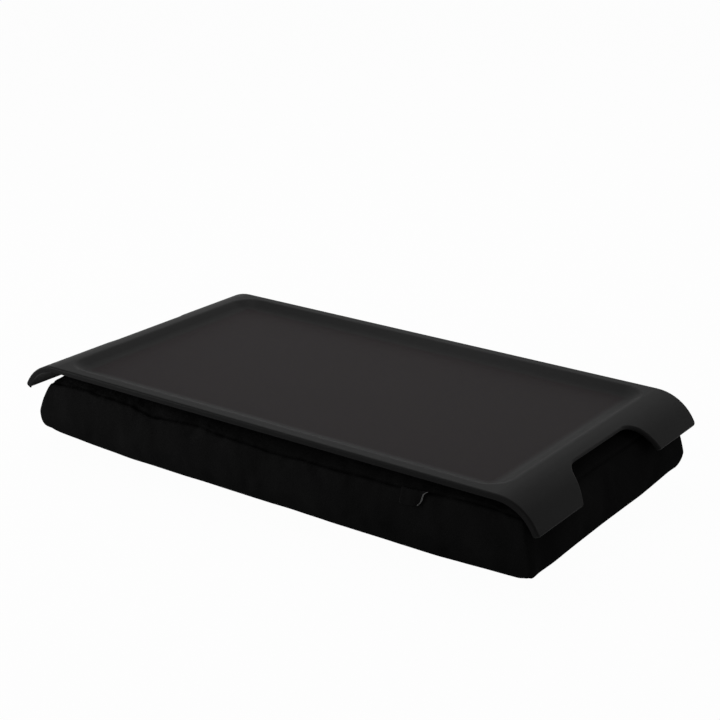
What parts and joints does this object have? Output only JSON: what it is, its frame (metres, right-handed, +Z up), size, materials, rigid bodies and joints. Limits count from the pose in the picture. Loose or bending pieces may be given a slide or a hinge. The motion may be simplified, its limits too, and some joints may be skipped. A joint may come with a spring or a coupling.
{
  "type": "lap tray with cushion",
  "caption": "Shallow rectangular lap tray with down-turned ends and hand notches, held by hook and loop tape on a boxed bead cushion with a zip along its back.",
  "frame": {"origin": "middle of the cushion's base, on the surface that it lies on", "axes": "+X along the tray's length to the right end, +Y to the back, where the zip is, +Z up"},
  "size_m": [0.437, 0.2338, 0.0655],
  "materials": {
    "tray_plastic": "satin black moulded plastic",
    "hook_tape": "black hook tape",
    "loop_tape": "black loop tape",
    "cover_cloth": "black velour",
    "label_cloth": "black woven ribbon",
    "bag_cloth": "black polyester cloth",
    "beads": "white foam beads in a bag",
    "zip_tape": "black woven tape",
    "zip_plastic": "black moulded teeth",
    "zip_metal": "black enamelled metal"
  },
  "bodies": {
    "cushion": {"cover_top_panel": "cover_cloth", "cover_base_panel": "cover_cloth", "cover_side_band": "cover_cloth", "cover_back_strip_lower": "cover_cloth", "cover_back_strip_upper": "cover_cloth", "loop_patch_1": "loop_tape", "loop_patch_2": "loop_tape", "loop_patch_3": "loop_tape", "loop_patch_4": "loop_tape", "inner_bag": "bag_cloth", "bead_filling": "beads", "zip_tape_lower": "zip_tape", "zip_tape_upper": "zip_tape", "zip_teeth_lower": "zip_plastic", "zip_teeth_upper": "zip_plastic", "zip_top_stops": "zip_plastic", "zip_bottom_stop": "zip_plastic", "side_label": "label_cloth"},
    "tray": {"tray_shell": "tray_plastic", "hook_patch_1": "hook_tape", "hook_patch_2": "hook_tape", "hook_patch_3": "hook_tape", "hook_patch_4": "hook_tape"},
    "slider": {"zip_slider": "zip_metal"},
    "pull": {"zip_pull": "zip_metal"}
  },
  "joints": [
    {"name": "tray_lift", "type": "slide", "parent": "cushion", "child": "tray", "axis": [0, 0, 1], "range_m": [0, 0.06]},
    {"name": "zip_slide", "type": "slide", "parent": "cushion", "child": "slider", "axis": [-1, 0, 0], "range_m": [0, 0.3424]},
    {"name": "zip_pull_swing", "type": "hinge", "parent": "slider", "child": "pull", "pos_m": [0.1712, 0.1148, 0.03], "axis": [0, 0, -1], "range_deg": [0, 180]}
  ]
}
